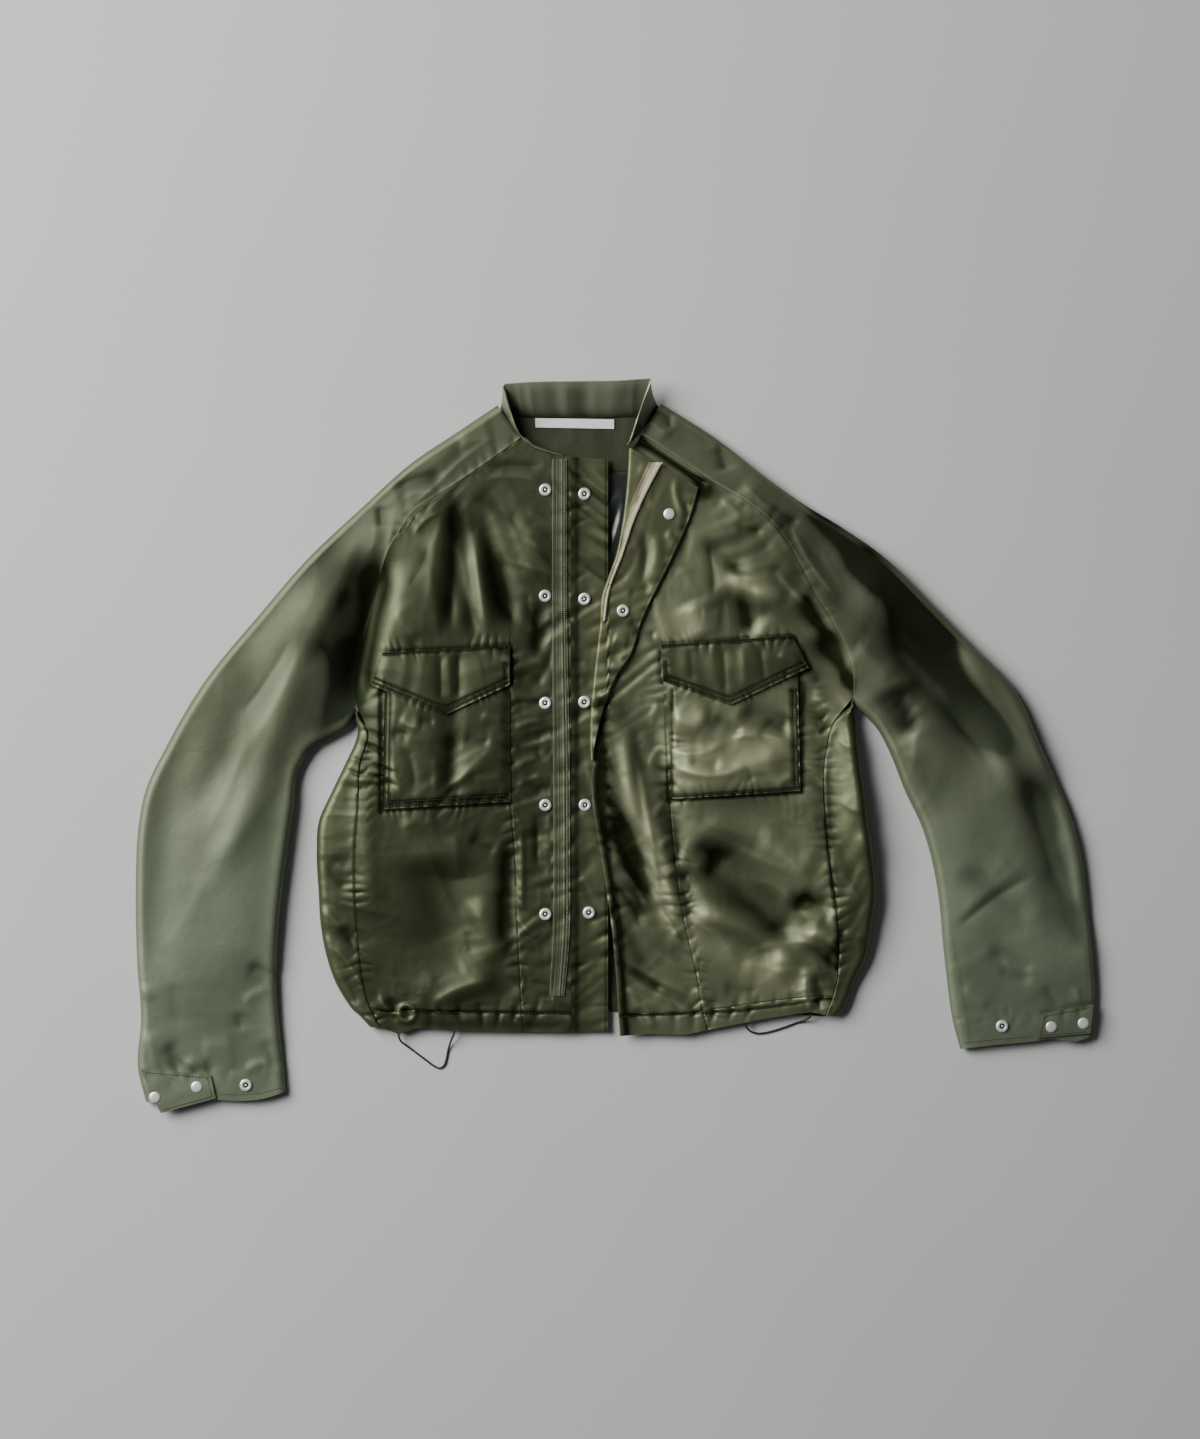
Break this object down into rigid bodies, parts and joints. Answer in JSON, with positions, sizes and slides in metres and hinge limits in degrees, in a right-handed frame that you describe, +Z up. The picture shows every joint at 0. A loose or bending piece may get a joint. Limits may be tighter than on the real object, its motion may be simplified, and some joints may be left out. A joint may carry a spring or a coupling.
{
  "type": "field jacket",
  "caption": "Short raglan-sleeved field jacket laid open on its back, with a stand collar, flapped chest pockets, snap placket, half-open zip and drawcord hem.",
  "frame": {"origin": "bottom centre of the laid-out jacket without its drawcords, on the surface that it lies on", "axes": "+X to the wearer's left, +Y from the hem to the collar, +Z up from the surface"},
  "size_m": [0.9608, 0.7332, 0.0316],
  "materials": {
    "shell_cloth": "olive satin-weave nylon, soft broad sheen",
    "lining_cloth": "smooth dark lining with a sharp sheen",
    "olive_tape": "ribbed olive zip tape",
    "cream_tape": "pale woven zip tape",
    "label_cloth": "plain white woven label",
    "snap_metal": "bright plated snap with a rounded rim",
    "cord_black": "thin black braided cord"
  },
  "bodies": {
    "root": {"back": "shell_cloth", "front_right": "shell_cloth", "front_left": "shell_cloth", "sleeve_right": "shell_cloth", "sleeve_left": "shell_cloth", "collar": "shell_cloth", "back_facing": "shell_cloth", "pocket_right": "shell_cloth", "pocket_left": "shell_cloth", "flap_right": "shell_cloth", "flap_left": "shell_cloth", "placket_strip": "shell_cloth", "turned_fly": "shell_cloth", "tab_right": "shell_cloth", "tab_left": "shell_cloth", "lining": "lining_cloth", "label": "label_cloth", "zip_right": "olive_tape", "zip_left": "cream_tape", "snap_front_1": "snap_metal", "snap_front_2": "snap_metal", "snap_front_3": "snap_metal", "snap_front_4": "snap_metal", "snap_front_5": "snap_metal", "snap_strip_1": "snap_metal", "snap_strip_2": "snap_metal", "snap_strip_3": "snap_metal", "snap_strip_4": "snap_metal", "snap_strip_5": "snap_metal", "snap_fly_1": "snap_metal", "snap_fly_2": "snap_metal", "snap_right_cuff_1": "snap_metal", "snap_right_cuff_2": "snap_metal", "snap_right_cuff_3": "snap_metal", "snap_left_cuff_1": "snap_metal", "snap_left_cuff_2": "snap_metal", "snap_left_cuff_3": "snap_metal", "drawcord_right": "cord_black", "drawcord_left": "cord_black"}
  },
  "joints": []
}
